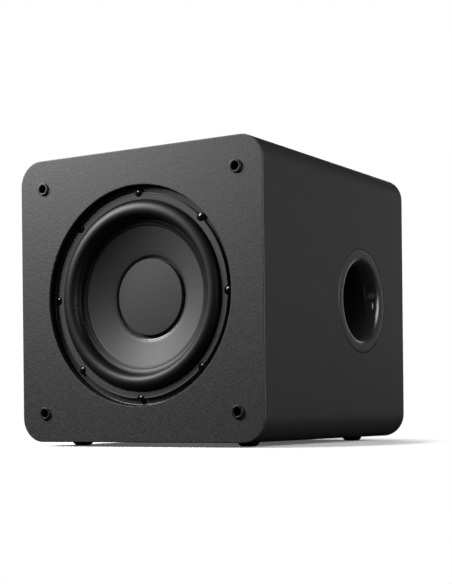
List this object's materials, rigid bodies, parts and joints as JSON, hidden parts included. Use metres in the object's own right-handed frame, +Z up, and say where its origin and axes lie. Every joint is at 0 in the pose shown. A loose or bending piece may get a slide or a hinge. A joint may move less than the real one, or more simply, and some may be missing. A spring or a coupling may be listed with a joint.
{
  "type": "subwoofer",
  "caption": "Powered ported subwoofer: a square box with round long edges, one recessed woofer in front, a flared side port and a rear amplifier plate.",
  "frame": {"origin": "on the floor, under the middle of the whole footprint from the socket lips to the knobs", "axes": "+Z up, +Y from the front face to the back, +X to the right as seen from the front, where the port is"},
  "size_m": [0.29, 0.3396, 0.2945],
  "materials": {
    "front_wrap": "grained charcoal vinyl on board, satin",
    "side_wrap": "charcoal vinyl on board, satin",
    "raw_board": "bare fibreboard",
    "black_rubber": "black moulded rubber",
    "trim_rubber": "dark grey moulded rubber, matt",
    "surround_rubber": "black butyl rubber, satin",
    "cone_pulp": "dark grey coated pulp",
    "cap_pulp": "dark grey coated pulp, matt",
    "port_plastic": "polished black moulding",
    "duct_plastic": "black moulding",
    "frame_paint": "black powder coat on steel",
    "foam_seal": "black closed-cell foam strip",
    "black_screw": "black zinc on steel",
    "plated_steel": "zinc-plated steel",
    "ferrite": "sintered ferrite, matt",
    "coil_copper": "enamelled copper wire",
    "former_film": "amber film",
    "spider_cloth": "resin-treated cotton",
    "terminal_plastic": "black moulding with tinned tabs",
    "amp_paint": "fine-textured black powder coat",
    "board_laminate": "green circuit laminate",
    "transformer_iron": "varnished laminations and winding",
    "heat_sink_metal": "extruded, plain",
    "capacitor_sleeve": "shrunk sleeve",
    "control_plastic": "black moulding, satin",
    "rocker_plastic": "black moulding, gloss",
    "jack_metal": "nickel-plated barrels in a black block",
    "lead_jacket": "black flexible jacket"
  },
  "bodies": {
    "cabinet": {"cabinet_shell": "side_wrap", "front_baffle": "front_wrap", "rear_panel": "side_wrap", "internal_brace": "raw_board", "port_flare": "port_plastic", "port_tube": "duct_plastic", "port_inner_flare": "duct_plastic", "driver_basket": "frame_paint", "driver_seal": "foam_seal", "trim_gasket": "trim_rubber", "surround": "surround_rubber", "spider": "spider_cloth", "top_plate": "plated_steel", "magnet_ring": "ferrite", "pole_piece": "plated_steel", "terminal_block": "terminal_plastic", "amp_plate": "amp_paint", "amp_seal": "foam_seal", "circuit_board": "board_laminate", "transformer": "transformer_iron", "heat_sink": "heat_sink_metal", "power_inlet": "control_plastic", "power_switch": "control_plastic", "line_jacks": "jack_metal", "speaker_lead": "lead_jacket", "grille_socket_1": "black_rubber", "foot_1": "black_rubber", "grille_socket_2": "black_rubber", "foot_2": "black_rubber", "grille_socket_3": "black_rubber", "foot_3": "black_rubber", "grille_socket_4": "black_rubber", "foot_4": "black_rubber", "driver_screw_1": "black_screw", "driver_screw_2": "black_screw", "driver_screw_3": "black_screw", "driver_screw_4": "black_screw", "driver_screw_5": "black_screw", "driver_screw_6": "black_screw", "driver_screw_7": "black_screw", "driver_screw_8": "black_screw", "amp_screw_1": "black_screw", "amp_screw_2": "black_screw", "amp_screw_3": "black_screw", "amp_screw_4": "black_screw", "amp_screw_5": "black_screw", "amp_screw_6": "black_screw", "filter_capacitor_1": "capacitor_sleeve", "filter_capacitor_2": "capacitor_sleeve"},
    "moving_cone": {"cone": "cone_pulp", "dust_cap": "cap_pulp", "voice_coil_former": "former_film", "voice_coil": "coil_copper"},
    "volume_control": {"volume_knob": "control_plastic", "volume_shaft": "plated_steel"},
    "crossover_control": {"crossover_knob": "control_plastic", "crossover_shaft": "plated_steel"},
    "phase_slider": {"phase_lever": "control_plastic"},
    "mode_slider": {"mode_lever": "control_plastic"},
    "rocker": {"power_rocker": "rocker_plastic"}
  },
  "joints": [
    {"name": "cone_travel", "type": "slide", "parent": "cabinet", "child": "moving_cone", "axis": [0, -1, 0], "range_m": [-0.008, 0.008], "stiffness_N_per_m": 2500, "deforming": ["surround", "spider"]},
    {"name": "volume_turn", "type": "hinge", "parent": "cabinet", "child": "volume_control", "pos_m": [0.042, 0.15335, 0.2275], "axis": [0, 1, 0], "range_deg": [-150, 150]},
    {"name": "crossover_turn", "type": "hinge", "parent": "cabinet", "child": "crossover_control", "pos_m": [-0.042, 0.15335, 0.2275], "axis": [0, 1, 0], "range_deg": [-150, 150]},
    {"name": "phase_slide", "type": "slide", "parent": "cabinet", "child": "phase_slider", "axis": [1, 0, 0], "range_m": [0, 0.004]},
    {"name": "mode_slide", "type": "slide", "parent": "cabinet", "child": "mode_slider", "axis": [1, 0, 0], "range_m": [-0.003, 0.003]},
    {"name": "rocker_tilt", "type": "hinge", "parent": "cabinet", "child": "rocker", "pos_m": [-0.036, 0.15165, 0.0715], "axis": [1, 0, 0], "range_deg": [0, 16]}
  ]
}
